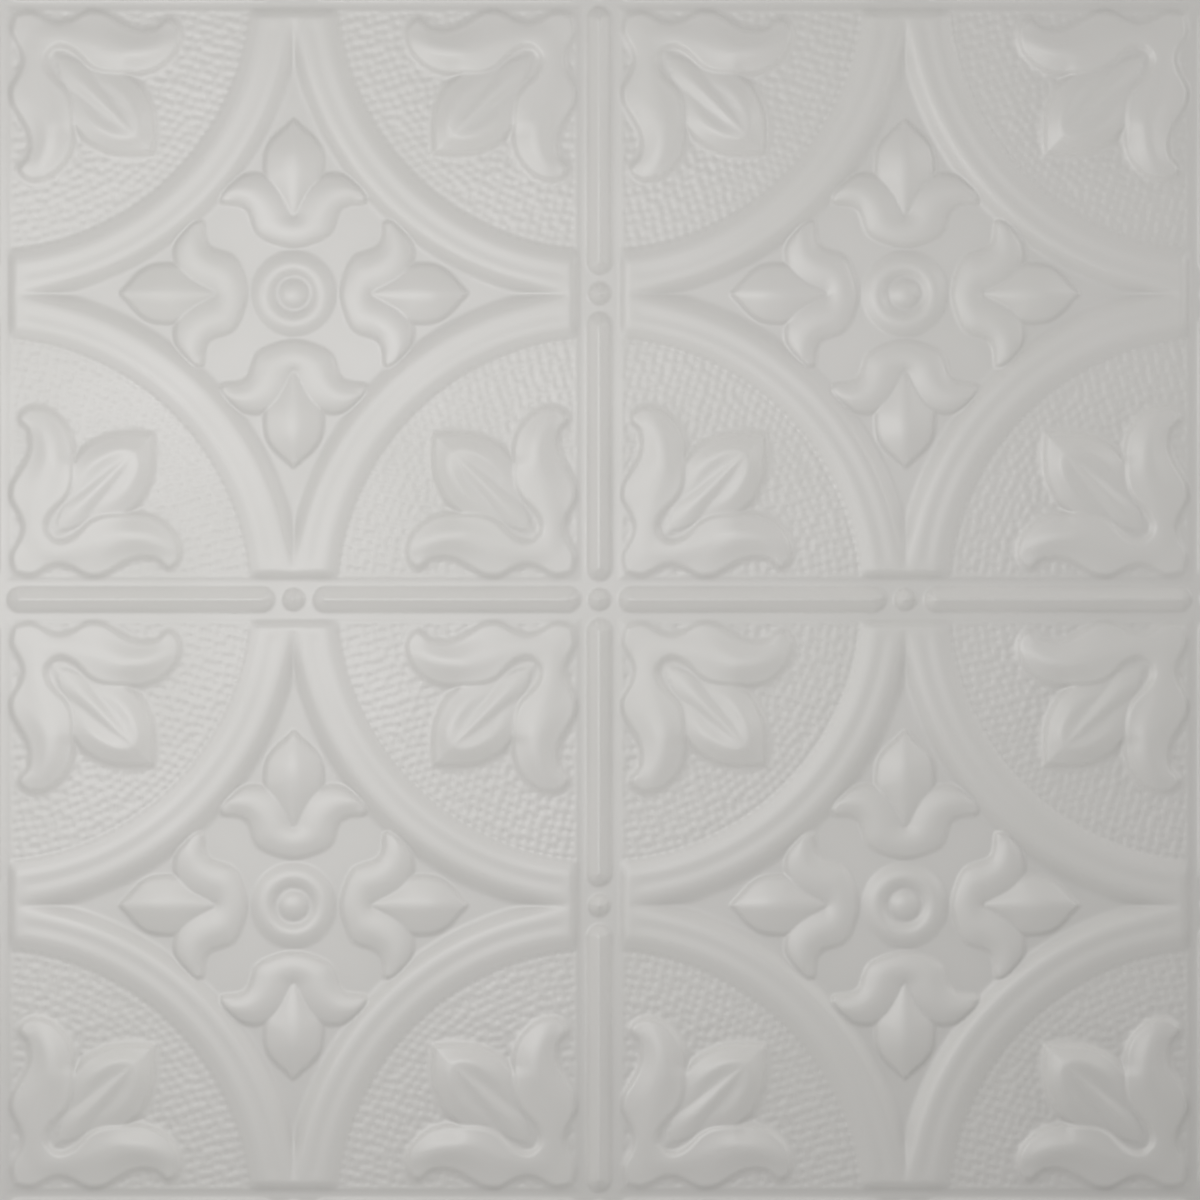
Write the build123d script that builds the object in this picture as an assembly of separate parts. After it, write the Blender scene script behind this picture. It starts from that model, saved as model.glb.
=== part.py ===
from build123d import *
import math
import os

# Pressed tin ceiling tile: one thin steel sheet, pressed in one stroke with a pattern that
# repeats on a square grid. It lies flat, relief up. The origin is the middle of the tile at
# the height of its lowest face, the flat back of the sunk fields. All sizes are in mm.

# Sheet and layout
SHEET_THICKNESS = 0.3
MODULE_PITCH = 304.8
MODULES_PER_SIDE = 2

# Flat grounds: the field is sunk below the margins, and the panel stands a little over them.
# The gap is the margin between the panels of two neighbouring modules.
FIELD_SINK = 1.15
PANEL_STEP = 0.3
PANEL_GAP = 21.6
PANEL_EDGE_SLOPE = 45

# Arch: two crests with a shallow groove between, turned about each corner of the module.
# The widths follow each other outwards from the inner foot.
ARCH_INNER_FOOT_RADIUS = 130.1
ARCH_INNER_FLANK = 9.5
ARCH_CREST_TO_GROOVE = 4.5
ARCH_GROOVE_TO_CREST = 4.0
ARCH_OUTER_FLANK = 11.4
ARCH_RISE = 3.0
ARCH_GROOVE_DEPTH = 0.3
ARCH_FACETS = 10

# Rosette at the middle of each module: a knob in a ring, widths from the middle outwards
KNOB_RADIUS = 5.0
KNOB_FLANK = 3.5
RING_INNER_FLANK = 5.5
RING_OUTER_FLANK = 8.0
KNOB_RISE = 2.3
KNOB_DOMING = 0.4
ROSETTE_GROOVE_RISE = 0.6
RING_RISE = 2.0
ROSETTE_FACETS = 4

# Beads and studs along the lines of the grid, and the flat strip left outside the outer beads
BEAD_WIDTH = 13.5
BEAD_RISE = 3.2
BEAD_SLOPE = 40
BEAD_END_CORNER = 4.0
STUD_RADIUS = 5.5
STUD_RISE = 3.4
STUD_SLOPE = 30
STUD_SIDES = 8
STUD_TO_BEAD = 9.2
EDGE_FLAT = 2.8

# Fleur on the module's +X axis. Each station of its side petal is a cut across it: inner foot,
# crest and outer foot in plan, from the module's middle, and the crest's rise over the field.
PETAL_STATIONS = [
    ((23.0, 0.0), (31.5, 0.0), (37.5, 0.0), 2.3),
    ((26.5, 14.0), (37.5, 11.5), (47.5, 4.0), 2.6),
    ((35.0, 22.5), (44.5, 14.0), (52.5, 6.7), 3.0),
    ((43.0, 27.5), (50.8, 21.5), (61.0, 18.0), 3.6),
    ((44.0, 34.5), (51.0, 31.0), (58.5, 31.0), 2.8),
]
PETAL_TIP = (45.2, 38.3)

# Bud of the fleur: distance from the module's middle, half width and rise of the keel
BUD_START = 37.5
BUD_STATIONS = [
    (52.0, 8.5, 3.0),
    (63.5, 15.8, 4.6),
    (75.5, 12.5, 3.3),
]
BUD_TIP = 87.5
BUD_SHOULDER_PLACE = 0.8
BUD_SHOULDER_RISE = 0.55

# Corner leaf, symmetric about the diagonal. Plan points are distances in from the panel's two
# edges. Stations of a lobe run from its free tip to the diagonal, cut like the petal's, with
# the crest's rise over the panel. The outer foot swings out to the panel's edge twice.
LOBE_TIP = (9.0, 86.2)
LOBE_STATIONS = [
    ((19.6, 85.2), (14.5, 79.3), (3.9, 79.0), 2.4),
    ((31.0, 74.3), (19.7, 69.3), (8.7, 68.8), 3.8),
    ((33.8, 60.0), (20.5, 57.9), (6.2, 57.5), 4.4),
    ((30.5, 42.0), (15.5, 42.5), (0.4, 42.5), 3.8),
    ((21.5, 31.2), (12.3, 27.5), (5.0, 25.5), 2.6),
    ((19.7, 26.0), (12.1, 18.5), (0.4, 11.5), 2.0),
    ((21.3, 21.3), (13.5, 13.5), (1.5, 1.5), 1.9),
]

# Bud of the leaf: a point of its outline and one of its midrib, both in from the panel's edges,
# and the rises of its shoulder and its midrib
LEAF_BUD_TIP = 72.6
LEAF_BUD_STATIONS = [
    ((66.6, 73.0), 68.6, 3.6, 4.6),
    ((45.9, 71.0), 56.6, 2.6, 3.7),
    ((34.4, 57.4), 43.6, 1.0, 1.9),
]
LEAF_BUD_END = 29.6
LEAF_SHOULDER_PLACE = 0.35

# How far raised forms reach below their ground before the skin is taken off them, and the
# strip that is trimmed off all round then
ROOT_DEPTH = 1.0
TRIM = 2.0

# Derived sizes
CORNER = MODULE_PITCH / 2
PANEL_SIDE = MODULE_PITCH - PANEL_GAP
TILE_SIDE = MODULE_PITCH * MODULES_PER_SIDE + BEAD_WIDTH + 2 * EDGE_FLAT
FIELD_LEVEL = SHEET_THICKNESS
MARGIN_LEVEL = FIELD_LEVEL + FIELD_SINK
PANEL_LEVEL = MARGIN_LEVEL + PANEL_STEP


def ruled_form(cuts, start=None, end=None):
    """A solid whose skin runs straight from each cut across it to the next.

    Each cut is a list of points, as many in every cut. Either end closes in a point, or else
    in the flat face of its last cut.
    """
    corners = []
    for cut, following in zip(cuts, cuts[1:]):
        for index, point in enumerate(cut):
            previous = index - 1
            corners.append((cut[previous], point, following[index]))
            corners.append((cut[previous], following[index], following[previous]))
    for cut, tip in ((cuts[0], start), (cuts[-1], end)):
        if tip is None:
            corners.append(tuple(cut))
        else:
            corners += [(cut[index - 1], point, tip) for index, point in enumerate(cut)]
    # Where two cuts share a point, one of the two triangles there has no width.
    outlines = [outline for outline in corners if len(set(outline)) == len(outline)]
    return Solid(Shell([Face(Wire.make_polygon(outline, close=True)) for outline in outlines]))


def ridge_cut(near, tops, far, level):
    """One cut across a ridge: from foot to foot over the tops, and down to the buried root."""
    root = level - ROOT_DEPTH
    raised = [(x, y, level + rise) for x, y, rise in tops]
    return [(*near, level), *raised, (*far, level), (*far, root), (*near, root)]


def turned_quarter(profile, centre, facets, start_angle):
    """A quarter of a turned form, in flat facets: profile points are radius and height."""
    cuts = []
    for step in range(facets + 1):
        angle = math.radians(start_angle + 90 * step / facets)
        across, along = math.cos(angle), math.sin(angle)
        cuts.append([(centre + radius * across, centre + radius * along, z) for radius, z in profile])
    return ruled_form(cuts)


def swapped(point):
    """The plan point on the other side of the module's diagonal."""
    x, y = point
    return (y, x)


def from_panel_edges(point):
    """A plan point that is stated as distances in from the panel's edges."""
    x, y = point
    return (PANEL_SIDE / 2 - x, PANEL_SIDE / 2 - y)


def side_petal():
    cuts = [
        ridge_cut(inner, [(*crest, rise)], outer, FIELD_LEVEL)
        for inner, crest, outer, rise in PETAL_STATIONS
    ]
    return ruled_form(cuts, end=(*PETAL_TIP, FIELD_LEVEL))


def fleur_bud():
    cuts = []
    for x, half_width, rise in BUD_STATIONS:
        shoulder = half_width * BUD_SHOULDER_PLACE
        shoulder_rise = rise * BUD_SHOULDER_RISE
        tops = [(x, -shoulder, shoulder_rise), (x, 0, rise), (x, shoulder, shoulder_rise)]
        cuts.append(ridge_cut((x, -half_width), tops, (x, half_width), FIELD_LEVEL))
    return ruled_form(cuts, (BUD_START, 0, FIELD_LEVEL), (BUD_TIP, 0, FIELD_LEVEL))


def fleur():
    petal = side_petal()
    return [petal, petal.mirror(Plane.XZ), fleur_bud()]


def leaf_lobe():
    cuts = [
        ridge_cut(
            from_panel_edges(inner),
            [(*from_panel_edges(crest), rise)],
            from_panel_edges(outer),
            PANEL_LEVEL,
        )
        for inner, crest, outer, rise in LOBE_STATIONS
    ]
    return ruled_form(cuts, start=(*from_panel_edges(LOBE_TIP), PANEL_LEVEL))


def leaf_bud():
    cuts = []
    for edge_point, midrib_inset, shoulder_rise, midrib_rise in LEAF_BUD_STATIONS:
        x, y = from_panel_edges(edge_point)
        midrib = PANEL_SIDE / 2 - midrib_inset
        shoulder = (
            x + (midrib - x) * LEAF_SHOULDER_PLACE,
            y + (midrib - y) * LEAF_SHOULDER_PLACE,
        )
        tops = [
            (*shoulder, shoulder_rise),
            (midrib, midrib, midrib_rise),
            (*swapped(shoulder), shoulder_rise),
        ]
        cuts.append(ridge_cut((x, y), tops, (y, x), PANEL_LEVEL))
    tip, end = (PANEL_SIDE / 2 - inset for inset in (LEAF_BUD_TIP, LEAF_BUD_END))
    return ruled_form(cuts, (tip, tip, PANEL_LEVEL), (end, end, PANEL_LEVEL))


def corner_leaf():
    lobe = leaf_lobe()
    diagonal = Plane(origin=(0, 0, 0), z_dir=(1, -1, 0))
    return [lobe, lobe.mirror(diagonal), leaf_bud()]


def rosette_quarter():
    root = FIELD_LEVEL - ROOT_DEPTH
    groove = KNOB_RADIUS + KNOB_FLANK
    crest = groove + RING_INNER_FLANK
    foot = crest + RING_OUTER_FLANK
    profile = [
        (0, root),
        (0, FIELD_LEVEL + KNOB_RISE),
        (KNOB_RADIUS, FIELD_LEVEL + KNOB_RISE - KNOB_DOMING),
        (groove, FIELD_LEVEL + ROSETTE_GROOVE_RISE),
        (crest, FIELD_LEVEL + RING_RISE),
        (foot, FIELD_LEVEL),
        (foot, root),
    ]
    return turned_quarter(profile, 0, ROSETTE_FACETS, 0)


def panel_quarter():
    """The panel's ground in one corner of the module, with its arch, cut off at the panel's edge."""
    crest_level = FIELD_LEVEL + ARCH_RISE
    floor = FIELD_LEVEL - ROOT_DEPTH
    inner_crest = ARCH_INNER_FOOT_RADIUS + ARCH_INNER_FLANK
    groove = inner_crest + ARCH_CREST_TO_GROOVE
    outer_crest = groove + ARCH_GROOVE_TO_CREST
    outer_foot = outer_crest + ARCH_OUTER_FLANK
    buried_foot = outer_foot + ARCH_OUTER_FLANK * ROOT_DEPTH / ARCH_RISE
    profile = [
        (0, floor),
        (0, PANEL_LEVEL),
        (ARCH_INNER_FOOT_RADIUS, PANEL_LEVEL),
        (inner_crest, crest_level),
        (groove, crest_level - ARCH_GROOVE_DEPTH),
        (outer_crest, crest_level),
        (buried_foot, floor),
    ]
    ground = turned_quarter(profile, CORNER, ARCH_FACETS, 180)
    widening = (MARGIN_LEVEL - floor) * math.tan(math.radians(PANEL_EDGE_SLOPE))
    foot_side = PANEL_SIDE + 2 * widening
    base = Plane.XY.offset(floor) * Rectangle(foot_side, foot_side)
    panel = extrude(base, amount=crest_level - floor + ROOT_DEPTH, taper=PANEL_EDGE_SLOPE)
    return ground & panel


def module_relief():
    """All raised forms of one module, about its own middle."""
    quarter = [panel_quarter(), rosette_quarter(), *fleur(), *corner_leaf()]
    return [Rot(0, 0, 90 * turn) * form for turn in range(4) for form in quarter]


def bead():
    """One bead between two studs, on the X axis about its own middle."""
    length = MODULE_PITCH / 2 - 2 * STUD_TO_BEAD
    spread = ROOT_DEPTH * math.tan(math.radians(BEAD_SLOPE))
    outline = Rectangle(length + 2 * spread, BEAD_WIDTH + 2 * spread)
    foot = chamfer(outline.vertices(), BEAD_END_CORNER + spread)
    root = Plane.XY.offset(MARGIN_LEVEL - ROOT_DEPTH)
    return extrude(root * foot, amount=BEAD_RISE + ROOT_DEPTH, taper=BEAD_SLOPE)


def stud():
    spread = ROOT_DEPTH * math.tan(math.radians(STUD_SLOPE))
    foot = RegularPolygon(STUD_RADIUS + spread, STUD_SIDES)
    root = Plane.XY.offset(MARGIN_LEVEL - ROOT_DEPTH)
    return extrude(root * foot, amount=STUD_RISE + ROOT_DEPTH, taper=STUD_SLOPE)


def beads_and_studs():
    """A bead on every half line of the grid, with a stud between each two."""
    step = MODULE_PITCH / 2
    halves = 2 * MODULES_PER_SIDE
    lines = MODULES_PER_SIDE + 1
    lengthwise = bead()
    crosswise = Rot(0, 0, 90) * lengthwise
    button = stud()
    return (
        [place * lengthwise for place in GridLocations(step, MODULE_PITCH, halves, lines)]
        + [place * crosswise for place in GridLocations(MODULE_PITCH, step, lines, halves)]
        + [place * button for place in GridLocations(step, MODULE_PITCH, halves + 1, lines)]
        + [place * button for place in GridLocations(MODULE_PITCH, MODULE_PITCH, lines, MODULES_PER_SIDE)]
    )


def pressed_form():
    """Everything below the tile's skin: a square block that carries the whole relief."""
    side = TILE_SIDE + 2 * TRIM
    depth = FIELD_SINK + 2 * ROOT_DEPTH
    block = Pos(0, 0, MARGIN_LEVEL - depth / 2) * Box(side, side, depth)
    # Each panel fills its pocket again, all but the sunk field.
    pocket_side = PANEL_SIDE - 2 * ROOT_DEPTH
    pocket = Pos(0, 0, FIELD_LEVEL + depth / 2) * Box(pocket_side, pocket_side, depth)
    modules = GridLocations(MODULE_PITCH, MODULE_PITCH, MODULES_PER_SIDE, MODULES_PER_SIDE).locations
    ground = block - [place * pocket for place in modules]
    relief = module_relief()
    forms = [place * form for place in modules for form in relief]
    return ground.fuse(*forms, *beads_and_studs())


def pressed_sheet():
    """The skin of the form: the form, less the same form one thickness lower."""
    form = pressed_form()
    tile = Box(TILE_SIDE, TILE_SIDE, 2 * form.bounding_box().size.Z)
    return (form & tile) - Pos(0, 0, -SHEET_THICKNESS) * form


os.makedirs("parts", exist_ok=True)
export_step(pressed_sheet(), "parts/pressed_sheet.step")
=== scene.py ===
"""Pressed tin ceiling tile, dressed for the studio.

One thin square sheet carries the same 12 in pattern four times: a sunk star field with a rosette and
four fleurs, four fluted quarter arches, and a leaf in each hammered corner. Beads and studs run along
the margins between the patterns. Everything is one pressing, so every surface here is a height over
the plan of the sheet, worked out on a grid and closed underneath at the thickness of the metal.

Plan places inside a pattern are given as (u, v): the larger and the smaller distance, in millimetres,
from the middle of the pattern along the two sides. The pattern is alike in all eight mirrored wedges.
"""

import logging
import math
from dataclasses import dataclass, field
from enum import Enum

import bpy
import numpy as np
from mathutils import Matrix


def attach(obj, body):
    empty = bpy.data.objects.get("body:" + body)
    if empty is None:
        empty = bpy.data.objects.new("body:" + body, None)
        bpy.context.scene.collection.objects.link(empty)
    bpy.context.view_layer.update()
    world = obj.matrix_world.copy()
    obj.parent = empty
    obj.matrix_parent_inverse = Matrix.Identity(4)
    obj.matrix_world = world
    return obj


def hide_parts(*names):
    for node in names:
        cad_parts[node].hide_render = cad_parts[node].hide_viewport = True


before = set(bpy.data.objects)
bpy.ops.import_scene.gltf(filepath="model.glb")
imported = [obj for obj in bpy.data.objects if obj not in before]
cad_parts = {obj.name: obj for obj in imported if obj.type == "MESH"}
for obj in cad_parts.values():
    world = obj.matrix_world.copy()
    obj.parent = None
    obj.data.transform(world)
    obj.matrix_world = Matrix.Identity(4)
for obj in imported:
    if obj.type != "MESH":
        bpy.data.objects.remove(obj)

LOG = logging.getLogger("ceiling_tile")
MM = 0.001
TINY = 1e-6
SHARP_DEGREES = 62.0
Points = tuple[tuple[float, ...], ...]


# ---------------------------------------------------------------- shapes on a grid


def eased(t: np.ndarray) -> np.ndarray:
    """Smooth step from 0 to 1: three t squared less two t cubed, held outside that range."""
    t = np.clip(t, 0.0, 1.0)
    return t * t * (3.0 - 2.0 * t)


def swept(x: np.ndarray, knots: Points) -> np.ndarray:
    """Reads a smooth profile through a few knots.

    The curve is a cubic between neighbouring knots. Its slope at a knot is the harmonic mean of the
    slopes on both sides, and zero at a crest, a groove or an end, so it never overshoots.

    Args:
        x: places to read the profile at.
        knots: (place, height) pairs in rising order of place.

    Returns:
        The heights, held level beyond the end knots.
    """
    kx, ky = np.array(knots, float).T
    span = np.diff(kx)
    rate = np.diff(ky) / span
    slope = np.zeros_like(kx)
    before, after = rate[:-1], rate[1:]
    same = before * after > 0
    slope[1:-1][same] = 2 * before[same] * after[same] / (before[same] + after[same])
    i = np.clip(np.searchsorted(kx, x) - 1, 0, len(span) - 1)
    t = np.clip((x - kx[i]) / span[i], 0.0, 1.0)
    t2, t3 = t * t, t * t * t
    return (
        (2 * t3 - 3 * t2 + 1) * ky[i]
        + (t3 - 2 * t2 + t) * span[i] * slope[i]
        + (3 * t2 - 2 * t3) * ky[i + 1]
        + (t3 - t2) * span[i] * slope[i + 1]
    )


def higher(a: np.ndarray, b: np.ndarray, reach: float) -> np.ndarray:
    """The larger of two heights, with the crease between them filled in softly.

    Where the two are closer than reach, it adds a quarter of reach times the square of how close.
    """
    near = np.clip(reach - np.abs(a - b), 0.0, None) / reach
    return np.maximum(a, b) + near * near * reach / 4.0


def smooth_run(points: Points, parts: int = 6) -> np.ndarray:
    """Draws a smooth line through its points, each stretch a cubic that leaves along its neighbours.

    Args:
        points: the places, and any further values that run along the line.
        parts: how many short pieces each stretch is drawn in.

    Returns:
        The line's points, one row each.
    """
    p = np.array(points, float)
    ends = np.vstack([2 * p[0] - p[1], p, 2 * p[-1] - p[-2]])
    a, b, c, d = ends[:-3], ends[1:-2], ends[2:-1], ends[3:]
    t = (np.arange(parts) / parts)[None, :, None]
    a, b, c, d = (q[:, None, :] for q in (a, b, c, d))
    rows = 2 * b + (c - a) * t
    rows += (2 * a - 5 * b + 4 * c - d) * t**2 + (3 * b - a - 3 * c + d) * t**3
    return np.vstack([0.5 * rows.reshape(-1, p.shape[1]), p[-1:]])


def distance_to(u: np.ndarray, v: np.ndarray, line: np.ndarray) -> np.ndarray:
    """Finds how far each place is from a line of short straight pieces.

    Args:
        u: larger plan distance of each place.
        v: smaller plan distance.
        line: the line's points, one row each.

    Returns:
        The shortest distances, in the measure of the places.
    """
    start, along = line[:-1, :2], np.diff(line[:, :2], axis=0)
    gap = np.stack([u, v], -1)[:, None, :] - start
    part = np.clip((gap * along).sum(-1) / (along * along).sum(-1), 0.0, 1.0)
    gap -= part[..., None] * along
    return np.sqrt((gap * gap).sum(-1).min(1))


def inside(u: np.ndarray, v: np.ndarray, line: np.ndarray) -> np.ndarray:
    """Finds the places inside a closed line: a ray from one crosses the line an odd number of times.

    Args:
        u: larger plan distance of each place.
        v: smaller plan distance.
        line: the line's points, one row each; its last point joins its first.

    Returns:
        True for each place inside.
    """
    (x0, y0), (x1, y1) = line[:, :2].T, np.roll(line[:, :2], -1, axis=0).T
    level = (y0 > v[:, None]) != (y1 > v[:, None])
    rise = np.where(y1 == y0, 1.0, y1 - y0)
    crossing = u[:, None] < (x1 - x0) * (v[:, None] - y0) / rise + x0
    return (level & crossing).sum(1) % 2 == 1


class Crown(Enum):
    """How a boss closes over its crest: the power that its fall follows, or a shoulder with none."""

    KEEL = 1.2
    ROUND = 1.7
    SHOULDERED = 0.0


@dataclass(frozen=True)
class Boss:
    """A raised form with a steep wall round its outline and a gentler crown up to its crest.

    Its height is the wall's rise, taken up over the wall's width, and the rest of the crest's rise
    taken up with the share of the way from the outline to the crest. The rise of the crest at a place
    is the mean of its points', weighed by the inverse fourth power of their distance. Beyond the
    outline the height goes on falling below zero, so that joining it to the ground rounds the foot.
    """

    outline: tuple[Points, ...]
    crest: Points
    wall_rise: float
    wall_width: float
    crown: Crown
    foot_slope: float = 0.5
    wall_share: float = 0.75
    reach: float = 4.0
    shoulder: float = 1.25
    crest_round: float = 0.8
    crest_blend: float = 0.4
    wall_power: float = 1.5

    def outline_run(self) -> np.ndarray:
        """The outline as one line, smooth along each of its runs and sharp where two runs meet."""
        runs = [smooth_run(run)[:-1] for run in self.outline]
        return np.vstack(runs + [self.outline[-1][-1:]])

    def crown_share(self, t: np.ndarray) -> np.ndarray:
        """Gives the share of the crown's rise.

        Args:
            t: share of the way from the outline to the crest.

        Returns:
            Shares from 0 at the outline to 1 at the crest.
        """
        if self.crown is Crown.SHOULDERED:
            return eased(t**self.shoulder)
        return 1.0 - (1.0 - t) ** self.crown.value

    def wall_climb(self, t: np.ndarray) -> np.ndarray:
        """Gives the share of the wall's rise. Under a shoulder the wall's foot is filleted too.

        Args:
            t: share of the wall's width, from the outline inwards.

        Returns:
            Shares from 0 at the outline to 1 behind the wall.
        """
        if self.crown is Crown.SHOULDERED:
            return eased(t)
        return 1.0 - (1.0 - np.clip(t, 0.0, 1.0)) ** self.wall_power

    def height(self, u: np.ndarray, v: np.ndarray) -> np.ndarray:
        """Height over the ground at each place, in millimetres.

        Args:
            u: larger plan distance of each place from the pattern's middle.
            v: smaller plan distance.

        Returns:
            Heights, below zero outside the outline.
        """
        edge, crest = self.outline_run(), smooth_run(self.crest)
        result = np.full(u.shape, -self.reach)
        low, high = edge.min(0) - self.reach, edge.max(0) + self.reach
        near = (u > low[0]) & (u < high[0]) & (v > low[1]) & (v < high[1])
        x, y = u[near], v[near]
        to_edge, to_crest = distance_to(x, y, edge), distance_to(x, y, crest)
        within = inside(x, y, edge)
        far = (x[:, None] - crest[:, 0]) ** 2 + (y[:, None] - crest[:, 1]) ** 2
        weight = 1.0 / (far + self.crest_blend) ** 2
        rise = (weight * crest[:, 2]).sum(1) / weight.sum(1)
        wall = np.minimum(self.wall_rise, self.wall_share * rise)
        to_crest = np.sqrt(to_crest**2 + self.crest_round**2) - self.crest_round
        t = to_edge / np.maximum(to_edge + to_crest, TINY)
        up = wall * self.wall_climb(to_edge / self.wall_width)
        up += (rise - wall) * self.crown_share(t)
        result[near] = np.where(within, up, np.maximum(-self.foot_slope * to_edge, -self.reach))
        return result


# ---------------------------------------------------------------- sizes and levels


@dataclass(frozen=True)
class TileSizes:
    """Sizes that the whole tile shares, in millimetres."""

    pitch: float = 304.8
    half_side: float = 314.35
    metal: float = 0.3
    field_top: float = 0.3
    margin_rise: float = 1.15
    ground_rise: float = 1.45
    panel_half: float = 144.0

    @property
    def corner(self) -> float:
        """Distance from a pattern's middle to the stud at its corner, along one side."""
        return self.pitch / 2

    @property
    def margin_top(self) -> float:
        """Height of the flat margins."""
        return self.field_top + self.margin_rise


SIZES = TileSizes()


# ---------------------------------------------------------------- the forms of one pattern


@dataclass(frozen=True)
class Arches:
    """The fluted quarter arches round the corners, the ground inside them and the field outside.

    The height is a profile of the distance from the pattern's corner. Two arches meet in a valley on
    each axis, which closes as they reach the panel's edge.
    """

    profile: Points = (
        (129.7, 1.45), (130.5, 1.54), (132.5, 1.96), (134.5, 2.4), (136.4, 2.78), (139.1, 3.0),
        (147.6, 3.0), (150.4, 2.78), (152.2, 2.22), (154.4, 1.26), (156.2, 0.52), (157.6, 0.14),
        (158.8, 0.0),
    )
    flute: Points = ((139.1, 0.0), (143.4, 0.17), (147.6, 0.0))
    crest_place: float = 147.6
    crest_rise: float = 3.0
    valley: Points = (
        (117.0, 1.0), (124.6, 0.78), (130.6, 0.54), (134.6, 0.32), (137.6, 0.12), (139.6, 0.0),
    )
    valley_reach: tuple[float, float] = (158.0, 162.0)
    flute_end: tuple[float, float] = (130.5, 137.0)
    end_wall: tuple[float, float] = (137.2, 143.3)
    panel_edge: tuple[float, float] = (140.3, 143.6)
    crossing: float = 0.35

    def one(self, distance: np.ndarray, u: np.ndarray) -> np.ndarray:
        """Works out one arch over the field.

        Args:
            distance: how far each place is from the arch's corner.
            u: larger plan distance of each place from the pattern's middle.

        Returns:
            Heights over the field.
        """
        rise = swept(distance, self.profile)
        near, far = self.valley_reach
        closing = np.maximum(swept(u, self.valley), eased((distance - near) / (far - near)))
        outer = self.crest_rise - (self.crest_rise - rise) * closing
        rise = np.where(distance > self.crest_place, outer, rise)
        low, high = self.flute_end
        return rise - swept(distance, self.flute) * (1.0 - eased((u - low) / (high - low)))

    def height(self, u: np.ndarray, v: np.ndarray) -> np.ndarray:
        """Height over the field, before the panel's edge is taken down."""
        c = SIZES.corner
        near, far = np.hypot(c - u, c - v), np.hypot(c - u, c + v)
        return higher(self.one(near, u), self.one(far, u), self.crossing)

    def edged(self, rise: np.ndarray, u: np.ndarray) -> np.ndarray:
        """Takes the arches down to the ground at their ends, and the ground down to the margin.

        Args:
            rise: heights over the field.
            u: larger plan distance of each place from the pattern's middle.

        Returns:
            The heights with the panel's edge taken down.
        """
        (a, b), (c, d) = self.end_wall, self.panel_edge
        ground, margin = SIZES.ground_rise, SIZES.margin_rise
        rise = ground + (rise - ground) * (1.0 - eased((u - a) / (b - a)))
        return margin + (rise - margin) * (1.0 - eased((u - c) / (d - c)))


@dataclass(frozen=True)
class Rosette:
    """The round rosette in the middle of the field: a domed knob, a groove and a broad ring."""

    profile: Points = (
        (0.0, 2.0), (2.0, 1.89), (3.5, 1.66), (5.0, 1.3), (6.2, 0.88), (7.4, 0.5), (8.3, 0.38),
        (9.1, 0.46), (10.4, 0.9), (11.7, 1.4), (12.8, 1.68), (14.2, 1.8), (15.6, 1.72),
        (17.2, 1.42), (18.6, 1.0), (20.0, 0.54), (21.2, 0.14), (21.8, 0.0),
    )

    def height(self, u: np.ndarray, v: np.ndarray) -> np.ndarray:
        """Height over the field: the profile of the distance from the middle."""
        return swept(np.hypot(u, v), self.profile)


@dataclass(frozen=True)
class Fleur:
    """A fleur: a collar with two curled petals, and a keeled bud that rises out of it."""

    collar: Boss = Boss(
        outline=(
            ((22.7, 0.0), (23.3, 4.5), (24.7, 9.5), (26.4, 14.0), (28.4, 17.4), (30.9, 19.7),
             (34.4, 21.1), (37.9, 22.1), (40.9, 23.4), (42.9, 25.8), (43.9, 29.4), (44.1, 33.4),
             (44.8, 36.1), (46.9, 37.7)),
            ((46.9, 37.7), (49.4, 37.0), (52.0, 35.2), (54.8, 32.4), (57.6, 29.2), (59.6, 25.4),
             (60.3, 21.4), (60.3, 17.9), (59.8, 15.2)),
            ((59.8, 15.2), (57.8, 10.0), (55.3, 6.5), (52.3, 4.0), (48.4, 2.0), (43.9, 0.6), (39.9, 0.0)),
        ),
        crest=(
            (31.9, 0.0, 2.3), (32.9, 5.5, 2.35), (35.9, 10.2, 2.5), (39.9, 12.0, 2.6),
            (43.9, 13.9, 2.65), (47.4, 16.5, 2.65), (50.1, 19.9, 2.6), (51.3, 23.9, 2.55),
            (51.4, 27.9, 2.4), (50.6, 31.4, 2.1), (48.9, 33.9, 1.7),
        ),
        wall_rise=0.75, wall_width=2.4, crown=Crown.ROUND,
    )
    bud: Boss = Boss(
        outline=(
            ((35.6, 0.0), (37.9, 1.7), (41.9, 3.7), (45.9, 6.0), (49.9, 8.7), (53.3, 11.5),
             (56.3, 14.0), (60.3, 15.4), (65.3, 15.4), (69.8, 14.9), (73.8, 13.5), (77.3, 11.1),
             (80.3, 8.2), (83.2, 4.7), (85.7, 2.0), (87.5, 0.0)),
        ),
        crest=(
            (38.9, 0.0, 1.3), (42.4, 0.0, 1.75), (49.9, 0.0, 2.75), (57.3, 0.0, 3.6),
            (62.3, 0.0, 3.95), (66.3, 0.0, 4.05), (70.3, 0.0, 3.9), (75.3, 0.0, 3.2),
            (79.8, 0.0, 2.35), (83.2, 0.0, 1.6),
        ),
        wall_rise=0.9, wall_width=2.4, crown=Crown.KEEL, crest_round=2.6,
    )

    join: float = 0.3

    def height(self, u: np.ndarray, v: np.ndarray) -> np.ndarray:
        """Height over the field, below zero outside the fleur."""
        return higher(self.collar.height(u, v), self.bud.height(u, v), self.join)


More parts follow.
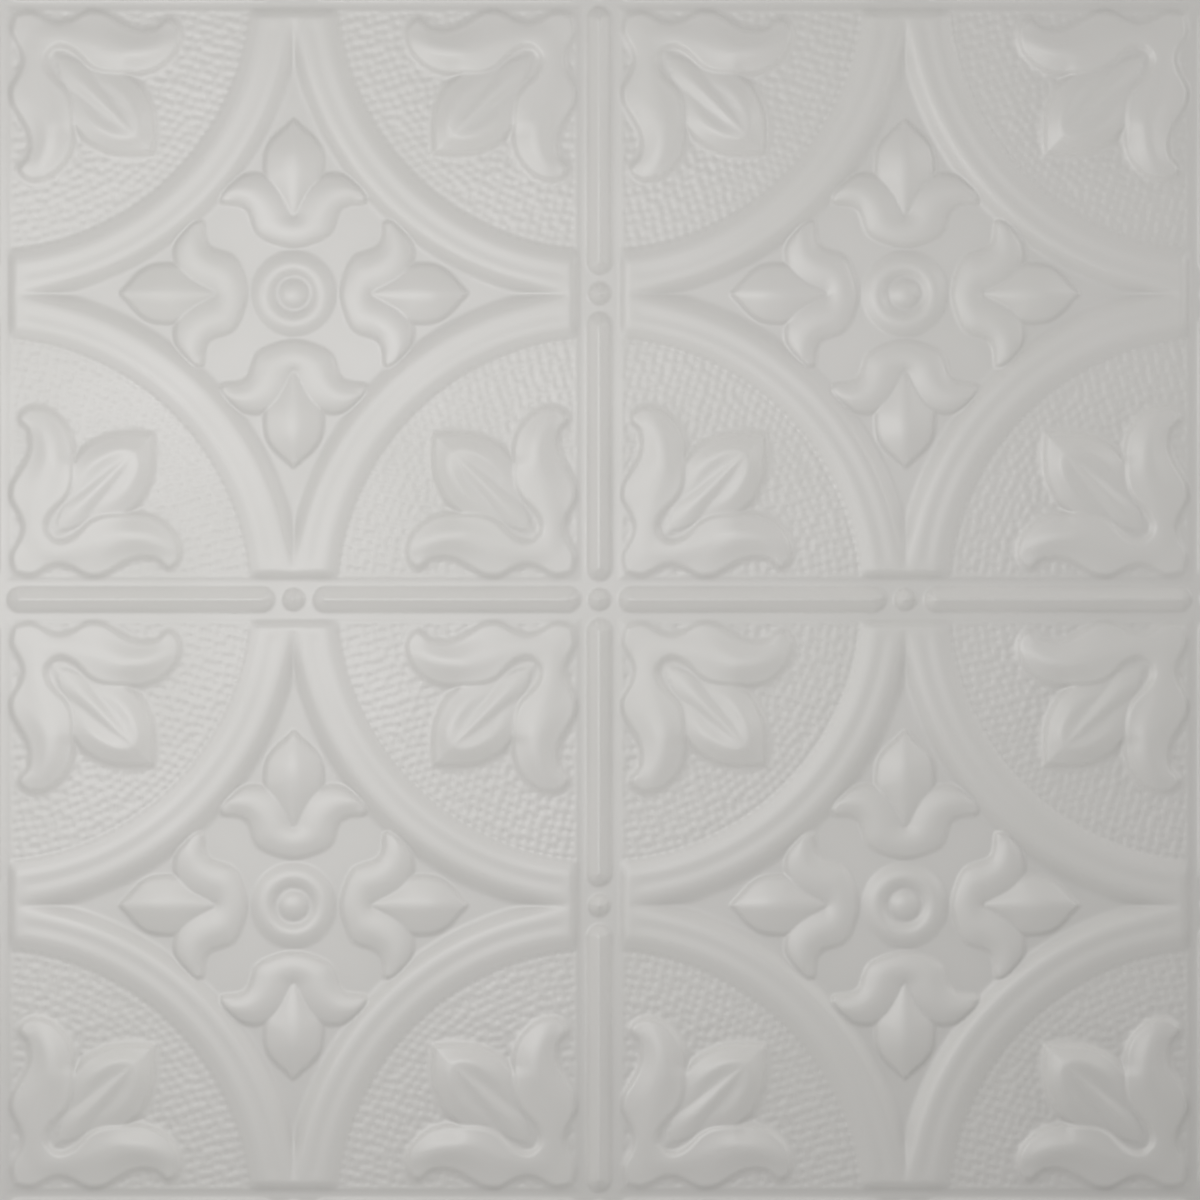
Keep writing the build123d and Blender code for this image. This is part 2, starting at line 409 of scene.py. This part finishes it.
@dataclass(frozen=True)
class CornerLeaf:
    """The leaf in the hammered corner: two curling lobes round a throat, and a ribbed bud.

    The bud lies along the diagonal. It has a wall and a shoulder up to a raised rim, a shallow dish
    inside the rim, and a rib along the middle that widens to a tongue in the throat. Its levels are
    profiles of the mean of u and v, which is the place along the diagonal.
    """

    lobes: Boss = Boss(
        outline=(
            ((140.1, 140.1), (141.6, 134.6), (141.8, 130.1), (140.1, 125.9), (138.1, 122.6),
             (136.8, 119.1), (136.6, 115.2), (138.1, 110.7), (140.3, 106.7), (142.1, 102.7),
             (142.3, 98.2), (141.3, 93.7), (139.1, 89.7), (136.3, 85.2), (134.3, 81.3),
             (133.1, 77.3), (132.9, 72.8), (133.8, 68.8), (136.1, 66.1), (138.1, 62.8),
             (137.1, 59.1), (133.6, 56.3), (129.1, 55.1), (123.6, 55.8), (118.6, 58.3),
             (114.2, 62.3), (110.7, 67.3), (108.7, 72.8), (107.8, 78.8), (108.2, 85.2),
             (108.4, 91.2), (109.7, 97.5), (112.7, 102.9), (116.6, 106.7), (120.1, 110.4),
             (122.1, 114.7), (121.9, 118.1), (120.3, 120.3)),
        ),
        crest=(
            (130.6, 58.8, 1.2), (127.1, 62.3, 1.95), (124.1, 66.8, 2.6), (121.9, 72.3, 3.15),
            (120.9, 78.3, 3.45), (121.1, 83.7, 3.45), (122.6, 89.7, 3.15), (124.6, 95.2, 2.75),
            (127.1, 101.2, 2.25), (128.9, 107.2, 1.8), (129.6, 114.7, 1.5), (129.4, 121.1, 1.4),
            (128.1, 128.1, 1.4),
        ),
        wall_rise=1.35, wall_width=3.2, crown=Crown.SHOULDERED,
    )
    throat_line: Points = (
        (107.8, 78.8), (108.2, 85.2), (108.4, 91.2), (109.7, 97.5), (112.7, 102.9),
        (116.6, 106.7), (120.1, 110.4), (122.1, 114.7), (121.9, 118.1), (120.3, 120.3),
    )
    throat_rise: Points = (
        (79.0, 0.0), (86.0, 0.9), (92.0, 1.05), (100.0, 0.95), (110.0, 0.8), (120.0, 0.65),
    )
    throat_reach: float = 16.0
    lifted_from: float = -1.5
    bud_outline: Points = (
        (68.8, 68.8), (74.8, 68.1), (82.3, 67.9), (89.7, 68.5), (94.7, 70.0), (99.7, 72.3),
        (104.2, 75.0), (107.7, 78.5), (112.7, 84.7), (117.6, 93.7), (121.6, 103.7),
        (123.6, 113.7), (122.6, 122.6),
    )
    rim_line: Points = (
        (79.8, 79.8), (83.7, 78.3), (88.7, 79.0), (94.7, 82.0), (99.7, 85.7), (103.2, 89.7),
        (105.7, 94.7), (110.7, 100.7), (115.7, 107.7), (119.6, 119.6),
    )
    rim_rise: Points = (
        (79.8, 4.2), (83.0, 4.15), (89.7, 3.6), (97.2, 2.5), (104.7, 1.5), (110.0, 1.0), (119.6, 0.6),
    )
    dish_depth: Points = ((80.0, 0.05), (88.0, 0.45), (97.0, 0.3), (105.0, 0.15))
    rib_rise: Points = (
        (79.8, 4.2), (82.3, 4.3), (86.7, 4.1), (92.2, 3.7), (99.2, 3.2), (104.7, 2.65),
        (109.7, 2.0), (115.2, 1.2), (119.6, 0.65),
    )
    rib_half: Points = (
        (80.8, 1.2), (84.7, 2.4), (89.7, 4.0), (97.2, 5.6), (104.7, 8.4), (112.2, 11.0),
    )
    rib_foot: Points = (
        (82.3, 4.05), (89.7, 3.15), (97.2, 2.2), (101.2, 1.6), (104.7, 1.15), (108.7, 0.85),
        (112.2, 0.65), (119.6, 0.3),
    )
    wall_rise: float = 1.5
    wall_width: float = 3.4
    wall_share: float = 0.75
    shoulder: float = 1.2
    dish_width: float = 5.0
    foot_slope: float = 0.5
    reach: float = 4.0
    rib_join: float = 0.25
    bud_join: float = 0.35

    def bud_height(self, u: np.ndarray, v: np.ndarray) -> np.ndarray:
        """Works out the bud over the ground.

        Args:
            u: larger plan distance of each place from the pattern's middle.
            v: smaller plan distance.

        Returns:
            Heights, below zero outside the bud.
        """
        edge, rim = smooth_run(self.bud_outline), smooth_run(self.rim_line)
        result = np.full(u.shape, -self.reach)
        low = edge.min(0) - self.reach
        near = (u > low[0]) & (v > low[1]) & (u + v < 2 * edge[-1, 0] + self.reach)
        x, y = u[near], v[near]
        along, across = (x + y) / 2, (x - y) / math.sqrt(2)
        to_edge, to_rim = distance_to(x, y, edge), distance_to(x, y, rim)
        rise = swept(along, self.rim_rise)
        wall = np.minimum(self.wall_rise, self.wall_share * rise)
        t = to_edge / np.maximum(to_edge + to_rim, TINY)
        flank = wall * eased(to_edge / self.wall_width)
        flank += (rise - wall) * eased(t**self.shoulder)
        dish = rise - swept(along, self.dish_depth) * eased(to_rim / self.dish_width)
        foot, top = swept(along, self.rib_foot), swept(along, self.rib_rise)
        rib = foot + (top - foot) * (1.0 - eased(across / swept(along, self.rib_half)))
        bud = np.where(inside(x, y, rim), higher(dish, rib, self.rib_join), flank)
        beyond = np.maximum(-self.foot_slope * to_edge, -self.reach)
        result[near] = np.where(inside(x, y, edge), bud, beyond)
        return result

    def throat_lift(self, u: np.ndarray, v: np.ndarray) -> np.ndarray:
        """Works out how far the lobes are lifted beside the throat, less towards their outer edges.

        Args:
            u: larger plan distance of each place from the pattern's middle.
            v: smaller plan distance.

        Returns:
            The lift at each place.
        """
        line = smooth_run(self.throat_line)
        lift = np.zeros(u.shape)
        near = (u > line[:, 0].min() - self.throat_reach) & (v > self.throat_rise[0][0])
        far = distance_to(u[near], v[near], line)
        lift[near] = swept(v[near], self.throat_rise) * (1.0 - eased(far / self.throat_reach))
        return lift

    def height(self, u: np.ndarray, v: np.ndarray) -> np.ndarray:
        """Works out the whole leaf over the ground.

        Args:
            u: larger plan distance of each place from the pattern's middle.
            v: smaller plan distance.

        Returns:
            Heights, below zero outside the leaf.
        """
        lobes = self.lobes.height(u, v)
        lobes = np.where(lobes > self.lifted_from, lobes + self.throat_lift(u, v), lobes)
        return higher(lobes, self.bud_height(u, v), self.bud_join)


@dataclass(frozen=True)
class Hammering:
    """Round pits in rows that follow the arch, each row half a step on from the last."""

    first_row: float = 130.1
    row_step: float = 4.45
    rows: int = 25
    pit_step: float = 4.75
    depth: float = 0.36
    spread: float = 1.2
    jitter: float = 0.25
    later_jitter: float = 0.6
    spare: int = 2
    seed: int = 12

    def depths(self, u: np.ndarray, v: np.ndarray) -> np.ndarray:
        """Works out how deep the pits go: the sum of a bell curve of the distance to each pit.

        A row's pits stand at equal steps of arc from the diagonal, each moved a little at random but
        for the one nearest the diagonal. The last few of a row fall past the panel's edge.

        Args:
            u: larger plan distance of each place from the pattern's middle.
            v: smaller plan distance.

        Returns:
            Depths, of the same shape as u.
        """
        rng = np.random.default_rng(self.seed)
        total = np.zeros(u.shape)
        for row in range(self.rows):
            radius = self.first_row - row * self.row_step
            count = int(radius * math.pi / 4 / self.pit_step) + self.spare
            turn = math.pi / 4 - (np.arange(count) + 0.5 * (row % 2)) * self.pit_step / radius
            jitter = self.jitter if row == 0 else self.later_jitter
            shift = rng.normal(0.0, jitter, (count, 2)) * (np.arange(count) > 0)[:, None]
            x = SIZES.corner - radius * np.sin(turn) + shift[:, 0]
            y = SIZES.corner - radius * np.cos(turn) + shift[:, 1]
            for px, py in zip(x, y):
                far = (u - px) ** 2 + (v - py) ** 2
                total += np.exp(-far / (2 * self.spread**2))
        return self.depth * np.minimum(total, 1.0)


@dataclass(frozen=True)
class Pattern:
    """One 12 in pattern: all its forms put together over the field."""

    arches: Arches = Arches()
    rosette: Rosette = Rosette()
    fleur: Fleur = Fleur()
    leaf: CornerLeaf = CornerLeaf()
    hammering: Hammering = Hammering()
    join: float = 0.3
    pit_fade: float = 0.5
    pit_reach: float = 133.0
    pit_edge: tuple[float, float] = (139.4, 140.8)

    def bare(self, leaf: np.ndarray, arch: np.ndarray, u: np.ndarray, v: np.ndarray) -> np.ndarray:
        """Finds the bare ground, which the pits are hammered in.

        Args:
            leaf: height of the leaf over the ground.
            arch: height of the arches over the field.
            u: larger plan distance of each place from the pattern's middle.
            v: smaller plan distance.

        Returns:
            Shares from 0 on the forms to 1 on bare ground.
        """
        low, high = self.pit_edge
        share = np.clip(-leaf / self.pit_fade, 0, 1)
        share *= 1 - eased((arch - SIZES.ground_rise) / self.pit_fade)
        share *= np.hypot(SIZES.corner - u, SIZES.corner - v) < self.pit_reach
        return share * (1 - eased((u - low) / (high - low)))

    def height(self, x: np.ndarray, y: np.ndarray) -> np.ndarray:
        """Height of the upper face over the floor, in millimetres.

        Args:
            x: plan distance of each place from the pattern's middle, along one side.
            y: the same along the other side.

        Returns:
            Heights, of the same shape as x.
        """
        u = np.maximum(np.abs(x), np.abs(y)).ravel()
        v = np.minimum(np.abs(x), np.abs(y)).ravel()
        arch = self.arches.height(u, v)
        star = higher(arch + self.rosette.height(u, v), self.fleur.height(u, v), self.join)
        leaf = self.leaf.height(u, v)
        ground = self.arches.edged(star, u)
        bare = self.bare(leaf, arch, u, v)
        pits = np.zeros(u.shape)
        marked = bare > 0
        pits[marked] = self.hammering.depths(u[marked], v[marked]) * bare[marked]
        raised = higher(leaf, np.zeros_like(leaf), self.join)
        return (SIZES.field_top + ground - pits + raised).reshape(x.shape)


# ---------------------------------------------------------------- meshes


def make_piece(name: str, points: np.ndarray, faces: list[list[int]]) -> bpy.types.Object:
    """Puts points and faces in a new mesh object that shades smoothly but for its rims.

    Args:
        name: the piece's name.
        points: the points in millimetres, one row each.
        faces: for each face, the numbers of its points.

    Returns:
        The new object, linked to the scene.
    """
    mesh = bpy.data.meshes.new(name)
    mesh.from_pydata((points * MM).tolist(), [], faces)
    mesh.update()
    mesh.shade_smooth()
    mesh.set_sharp_from_angle(angle=math.radians(SHARP_DEGREES))
    piece = bpy.data.objects.new(name, mesh)
    bpy.context.scene.collection.objects.link(piece)
    return piece


@dataclass(frozen=True)
class ReliefPanel:
    """One pattern with its ground, as a closed piece of the sheet that ends on the flat margin."""

    name: str
    centre: tuple[float, float]
    cells: int = 280
    half: float = SIZES.panel_half

    def top(self, pattern: Pattern) -> np.ndarray:
        """Works out one quarter of the upper face and mirrors it.

        Args:
            pattern: the pattern to press.

        Returns:
            Heights on the panel's grid.
        """
        middle = self.cells // 2
        line = np.arange(middle + 1) * self.half / middle
        quarter = pattern.height(*np.meshgrid(line, line))
        fold = np.abs(np.arange(self.cells + 1) - middle)
        return quarter[np.ix_(fold, fold)]

    def under(self, top: np.ndarray) -> np.ndarray:
        """Works out the lower face on every second grid line.

        Each height is the lowest of the upper face within two cells, less the metal, so that the
        lower face stays inside the sheet on every slope.

        Args:
            top: heights of the upper face.

        Returns:
            Heights of the lower face, never under the floor.
        """
        n = self.cells
        padded = np.pad(top, 2, mode="edge")
        moved = [padded[i : i + n + 1, j : j + n + 1] for i in range(5) for j in range(5)]
        lowest = np.min(moved, axis=0)
        return np.maximum(lowest[::2, ::2] - SIZES.metal, 0.0)

    def build(self, pattern: Pattern) -> bpy.types.Object:
        """Makes the panel's mesh: upper face, lower face at half the fineness, and the rim between.

        Args:
            pattern: the pattern to press.

        Returns:
            The panel.
        """
        n, m = self.cells, self.cells // 2
        line = np.linspace(-self.half, self.half, n + 1)
        top = self.top(pattern)
        x, y = np.meshgrid(line, line)
        cx, cy = self.centre
        upper = np.stack([x + cx, y + cy, top], -1).reshape(-1, 3)
        lower = np.stack([x[::2, ::2] + cx, y[::2, ::2] + cy, self.under(top)], -1)
        lower = lower.reshape(-1, 3)
        a = np.arange((n + 1) * (n + 1)).reshape(n + 1, n + 1)
        b = np.arange((m + 1) * (m + 1)).reshape(m + 1, m + 1) + a.size
        upward = np.stack([a[:-1, :-1], a[:-1, 1:], a[1:, 1:], a[1:, :-1]], -1)
        downward = np.stack([b[:-1, :-1], b[1:, :-1], b[1:, 1:], b[:-1, 1:]], -1)
        faces = upward.reshape(-1, 4).tolist() + downward.reshape(-1, 4).tolist()
        rims = (
            (a[0], b[0]), (a[:, -1], b[:, -1]), (a[-1, ::-1], b[-1, ::-1]), (a[::-1, 0], b[::-1, 0]),
        )
        for fine, coarse in rims:
            first, middle, last = fine[:-1:2], fine[1::2], fine[2::2]
            start, end = coarse[:-1], coarse[1:]
            faces += np.stack([start, end, middle], -1).tolist()
            faces += np.stack([start, middle, first], -1).tolist()
            faces += np.stack([end, last, middle], -1).tolist()
        return make_piece(self.name, np.vstack([upper, lower]), faces)


@dataclass(frozen=True)
class BeadedMargin:
    """The flat strips between and round the patterns, with their beads, studs and outer edge."""

    section: Points = (
        (0.0, 1.0), (0.07, 0.98), (0.14, 0.916), (0.21, 0.834), (0.35, 0.678), (0.49, 0.53),
        (0.625, 0.375), (0.695, 0.288), (0.765, 0.18), (0.83, 0.088), (0.9, 0.03), (1.0, 0.0),
    )
    bead_half: float = 7.2
    bead_rise: float = 3.2
    stud_half: float = 6.3
    stud_rise: float = 3.4
    end_gap: float = 8.6
    strip_step: float = 0.68
    end_zone: float = 13.0
    stud_zone: float = 17.0
    fine_step: float = 0.85
    coarse_step: float = 7.5

    def ridge(self, share: np.ndarray) -> np.ndarray:
        """A bead's section: a rounded top, even flanks, a steeper wall and a filleted foot."""
        return swept(share, self.section)

    def along(self, along: np.ndarray, across: np.ndarray) -> np.ndarray:
        """Rise of one line of beads and studs.

        Args:
            along: place along the line, from the middle of the tile.
            across: distance from the line.

        Returns:
            The rise over the flat margin.
        """
        half_pitch = SIZES.pitch / 2
        step = along - np.round(along / half_pitch) * half_pitch
        stud = self.stud_rise * self.ridge(np.hypot(step, across) / self.stud_half)
        straight = half_pitch / 2 - self.end_gap - self.bead_half
        beyond = np.maximum(np.abs(np.abs(step) - half_pitch / 2) - straight, 0.0)
        bead = self.bead_rise * self.ridge(np.hypot(beyond, across) / self.bead_half)
        return np.maximum(stud, bead)

    def height(self, x: np.ndarray, y: np.ndarray) -> np.ndarray:
        """Works out the upper face of the margin.

        Args:
            x: place along one side of the tile, from its middle.
            y: the same along the other side.

        Returns:
            Heights over the floor.
        """
        across_x = x - np.round(x / SIZES.pitch) * SIZES.pitch
        across_y = y - np.round(y / SIZES.pitch) * SIZES.pitch
        rise = np.maximum(self.along(y, np.abs(across_x)), self.along(x, np.abs(across_y)))
        return SIZES.margin_top + rise

    def lines(self) -> np.ndarray:
        """Places the lattice's grid lines: close over strips, bead ends and studs, wide between.

        Returns:
            Their places, rising, alike on both sides of the middle.
        """
        strip = SIZES.pitch / 2 - SIZES.panel_half
        middle = SIZES.pitch / 2
        stops = [0.0, strip, strip + self.end_zone, middle - self.stud_zone, middle + self.stud_zone,
                 SIZES.pitch - strip - self.end_zone, SIZES.pitch - strip, SIZES.half_side]
        steps = [self.strip_step, self.fine_step, self.coarse_step, self.fine_step, self.coarse_step,
                 self.fine_step, self.strip_step]
        runs = [np.linspace(a, b, max(2, round((b - a) / s)), endpoint=False)
                for a, b, s in zip(stops, stops[1:], steps)]
        right = np.concatenate(runs + [[SIZES.half_side]])
        return np.concatenate([-right[:0:-1], right])

    def build(self) -> bpy.types.Object:
        """Makes the lattice: every cell outside the four panels, closed underneath and at its edges.

        Returns:
            The lattice.
        """
        line = self.lines()
        x, y = np.meshgrid(line, line)
        top = self.height(x, y)
        low = np.maximum(top - SIZES.metal, 0.0)
        middle = (line[:-1] + line[1:]) / 2
        strip = SIZES.pitch / 2 - SIZES.panel_half
        in_panel = (np.abs(middle) > strip) & (np.abs(middle) < SIZES.pitch - strip)
        kept = ~(in_panel[:, None] & in_panel[None, :])
        node = np.arange(x.size).reshape(x.shape)
        corners = [node[:-1, :-1], node[:-1, 1:], node[1:, 1:], node[1:, :-1]]
        quads = np.stack(corners, -1)[kept]
        count = x.size
        faces = [quads, quads[:, ::-1] + count]
        solid = np.pad(kept, 1)
        sides = {(-1, 0): (0, 1), (0, 1): (1, 2), (1, 0): (2, 3), (0, -1): (3, 0)}
        for (di, dj), (p, q) in sides.items():
            beside = solid[1 + di : solid.shape[0] - 1 + di, 1 + dj : solid.shape[1] - 1 + dj]
            rim = kept & ~beside
            start, end = corners[p][rim], corners[q][rim]
            faces.append(np.stack([start, start + count, end + count, end], -1))
        faces = np.concatenate(faces)
        points = np.concatenate([np.stack([x, y, z], -1).reshape(-1, 3) for z in (top, low)])
        used, places = np.unique(faces, return_inverse=True)
        return make_piece("beaded_margin", points[used], places.reshape(faces.shape).tolist())


# ---------------------------------------------------------------- finishes


def linear(colour: str) -> tuple[float, float, float, float]:
    """Turns an sRGB hex colour into the linear red, green, blue and alpha that Blender works in."""
    parts = [int(colour[i : i + 2], 16) / 255 for i in (1, 3, 5)]
    return (*(p / 12.92 if p <= 0.04045 else ((p + 0.055) / 1.055) ** 2.4 for p in parts), 1.0)


def add_node(tree: bpy.types.NodeTree, kind: str, settings: dict | None = None,
             links: dict | None = None, **inputs: object) -> bpy.types.Node:
    """Adds one node with its settings, its input values and its links.

    Args:
        tree: the node tree.
        kind: the node's type name.
        settings: the node's own properties.
        links: input name or number to the output socket that feeds it.
        **inputs: input name, with _ for a space, to its value.

    Returns:
        The new node.
    """
    node = tree.nodes.new(kind)
    for key, value in (settings or {}).items():
        setattr(node, key, value)
    for key, value in inputs.items():
        node.inputs[key.replace("_", " ")].default_value = value
    for key, socket in (links or {}).items():
        tree.links.new(socket, node.inputs[key])
    return node


@dataclass(frozen=True)
class SatinPaint:
    """Baked satin enamel on tinplate: smooth and off-white, with a soft broad highlight."""

    colour: str = "#CFCDCB"
    shade: str = "#CAC9C5"
    roughness: float = 0.43
    gloss_swing: float = 0.03
    cloud_mm: float = 90.0
    cloud_range: tuple[float, float] = (0.3, 0.7)
    peel_mm: float = 2.2
    peel_depth_mm: float = 0.006

    def material(self) -> bpy.types.Material:
        """Builds the paint: slow clouds in its colour and gloss, and a fine orange peel.

        Returns:
            The material, which reads Object coordinates, in metres.
        """
        # Baked enamel flows out before it sets: the eye sees no brush marks, only a faint orange
        # peel and a gloss that drifts a little from place to place.
        paint = bpy.data.materials.new("satin_enamel_on_tinplate")
        paint.use_nodes = True
        tree = paint.node_tree
        tree.nodes.clear()
        place = add_node(tree, "ShaderNodeTexCoord").outputs["Object"]
        clouds = add_node(tree, "ShaderNodeTexNoise", None, {"Vector": place},
                          Scale=1000.0 / self.cloud_mm, Detail=3.0, Roughness=0.55)
        peel = add_node(tree, "ShaderNodeTexNoise", None, {"Vector": place},
                        Scale=1000.0 / self.peel_mm, Detail=2.0, Roughness=0.5)
        colour = add_node(tree, "ShaderNodeMix", {"data_type": "RGBA"})
        colour.inputs[6].default_value = linear(self.colour)
        colour.inputs[7].default_value = linear(self.shade)
        tree.links.new(clouds.outputs["Fac"], colour.inputs[0])
        low, high = self.cloud_range
        gloss = add_node(tree, "ShaderNodeMapRange", None, {"Value": clouds.outputs["Fac"]},
                         From_Min=low, From_Max=high, To_Min=self.roughness - self.gloss_swing,
                         To_Max=self.roughness + self.gloss_swing)
        bump = add_node(tree, "ShaderNodeBump", None, {"Height": peel.outputs["Fac"]},
                        Strength=1.0, Distance=self.peel_depth_mm * MM)
        shader = add_node(tree, "ShaderNodeBsdfPrincipled", None,
                          {"Base Color": colour.outputs[2], "Roughness": gloss.outputs["Result"],
                           "Normal": bump.outputs["Normal"]}, IOR=1.5)
        add_node(tree, "ShaderNodeOutputMaterial", None, {"Surface": shader.outputs["BSDF"]})
        return paint


@dataclass(frozen=True)
class MattPaper:
    """Matt background paper under the tile: pale, with no highlight."""

    colour: str = "#E4E2DE"
    roughness: float = 0.9

    def material(self) -> bpy.types.Material:
        """Builds the paper.

        Returns:
            The material.
        """
        # Uncoated paper scatters light evenly, so the eye sees only the tile's soft shadow on it.
        paper = bpy.data.materials.new("matt_paper_floor")
        paper.use_nodes = True
        shader = paper.node_tree.nodes["Principled BSDF"]
        shader.inputs["Base Color"].default_value = linear(self.colour)
        shader.inputs["Roughness"].default_value = self.roughness
        return paper


# ---------------------------------------------------------------- studio


@dataclass(frozen=True)
class Lamp:
    """A flat soft lamp that faces the floor: its place and size in metres, and its power in watts."""

    name: str
    place: tuple[float, float, float]
    size: tuple[float, float]
    watts: float

    def hang(self) -> None:
        """Hangs the lamp."""
        lamp = bpy.data.lights.new(self.name, "AREA")
        lamp.shape, lamp.energy = "RECTANGLE", self.watts
        lamp.size, lamp.size_y = self.size
        hung = bpy.data.objects.new(self.name, lamp)
        hung.location = self.place
        bpy.context.scene.collection.objects.link(hung)


@dataclass(frozen=True)
class Studio:
    """A pale floor, two lamps, light walls under a dimmer ceiling, and a camera straight above."""

    view_width_mm: float = 598.2
    view_shift_mm: tuple[float, float] = (0.35, -0.25)
    camera_height: float = 6.0
    film_width_mm: float = 36.0
    sight: float = 100.0
    lamps: tuple[Lamp, ...] = (
        Lamp("long_lamp", (-0.33, 0.072, 0.973), (0.8, 0.22), 6.65),
        Lamp("side_lamp", (0.99, 0.45, 1.07), (0.3, 0.3), 4.6),
    )
    ceiling_light: float = 0.17
    wall_light: float = 1.85
    wall_top: tuple[float, float] = (0.16, 0.26)
    room_colour: str = "#FFFEFC"
    backdrop_colour: str = "#F1F0EE"
    paper: MattPaper = MattPaper()
    floor_half: float = 12.0
    floor_drop: float = 0.0002

    def floor(self) -> None:
        """Lays a wide pale floor under the tile."""
        half, level = self.floor_half, -self.floor_drop
        mesh = bpy.data.meshes.new("studio_floor")
        plan = ((-half, -half), (half, -half), (half, half), (-half, half))
        corners = [(x, y, level) for x, y in plan]
        mesh.from_pydata(corners, [], [(0, 1, 2, 3)])
        floor = bpy.data.objects.new("studio_floor", mesh)
        bpy.context.scene.collection.objects.link(floor)
        mesh.materials.append(self.paper.material())

    def light(self) -> None:
        """Hangs the lamps, and gives the world a pale backdrop.

        The world lights the tile strongly from low down all round, as pale walls do, and faintly from
        above. The low light reaches the slopes of the relief more than the flats.
        """
        for lamp in self.lamps:
            lamp.hang()
        world = bpy.data.worlds.new("pale_room")
        bpy.context.scene.world = world
        world.use_nodes = True
        tree = world.node_tree
        tree.nodes.clear()
        path = add_node(tree, "ShaderNodeLightPath")
        seen = add_node(tree, "ShaderNodeMath", {"operation": "MAXIMUM"},
                        {0: path.outputs["Is Camera Ray"], 1: path.outputs["Is Transmission Ray"]})
        way = add_node(tree, "ShaderNodeTexCoord").outputs["Generated"]
        up = add_node(tree, "ShaderNodeSeparateXYZ", None, {0: way}).outputs["Z"]
        low, high = self.wall_top
        room = add_node(tree, "ShaderNodeMapRange", {"interpolation_type": "SMOOTHSTEP"}, {"Value": up},
                        From_Min=low, From_Max=high, To_Min=self.wall_light, To_Max=self.ceiling_light)
        fill = add_node(tree, "ShaderNodeBackground", None, {"Strength": room.outputs["Result"]},
                        Color=linear(self.room_colour))
        backdrop = add_node(tree, "ShaderNodeBackground", Color=linear(self.backdrop_colour),
                            Strength=1.0)
        both = add_node(tree, "ShaderNodeMixShader", None,
                        {0: seen.outputs[0], 1: fill.outputs[0], 2: backdrop.outputs[0]})
        add_node(tree, "ShaderNodeOutputWorld", None, {"Surface": both.outputs[0]})

    def camera(self) -> None:
        """Sets a long lens straight above, so that the view is as flat as the photograph's."""
        data = bpy.data.cameras.new("camera")
        data.sensor_width = self.film_width_mm
        data.lens = data.sensor_width * self.camera_height / (self.view_width_mm * MM)
        data.clip_end = self.sight
        camera = bpy.data.objects.new("camera", data)
        x, y = self.view_shift_mm
        camera.location = (x * MM, y * MM, self.camera_height)
        bpy.context.scene.collection.objects.link(camera)
        bpy.context.scene.camera = camera

    def build(self) -> None:
        """Sets up the whole studio."""
        self.floor()
        self.light()
        self.camera()
        bpy.context.scene.view_settings.view_transform = "Standard"


# ---------------------------------------------------------------- the tile


@dataclass(frozen=True)
class CeilingTile:
    """The whole sheet: four panels with the pattern, and the beaded margin that joins them."""

    pattern: Pattern = Pattern()
    margin: BeadedMargin = BeadedMargin()
    paint: SatinPaint = SatinPaint()
    panels: tuple[ReliefPanel, ...] = field(default_factory=lambda: tuple(
        ReliefPanel(f"panel_{name}", (sx * SIZES.corner, sy * SIZES.corner))
        for name, sx, sy in (
            ("back_left", -1, 1), ("back_right", 1, 1), ("front_left", -1, -1), ("front_right", 1, -1),
        )
    ))

    def dress(self, piece: bpy.types.Object, paint: bpy.types.Material) -> None:
        """Paints a piece and says what it stands for.

        Args:
            piece: the piece.
            paint: its material.
        """
        piece.data.materials.append(paint)
        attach(piece, "root")
        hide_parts("pressed_sheet")
        LOG.info("%s: %d faces", piece.name, len(piece.data.polygons))

    def build(self) -> None:
        """Builds and dresses every piece of the sheet."""
        paint = self.paint.material()
        for panel in self.panels:
            self.dress(panel.build(self.pattern), paint)
        self.dress(self.margin.build(), paint)


def main() -> None:
    """Builds the studio and the tile."""
    logging.basicConfig(level=logging.INFO, format="%(name)s: %(message)s")
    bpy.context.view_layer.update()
    Studio().build()
    CeilingTile().build()


if __name__ == "__main__":
    main()
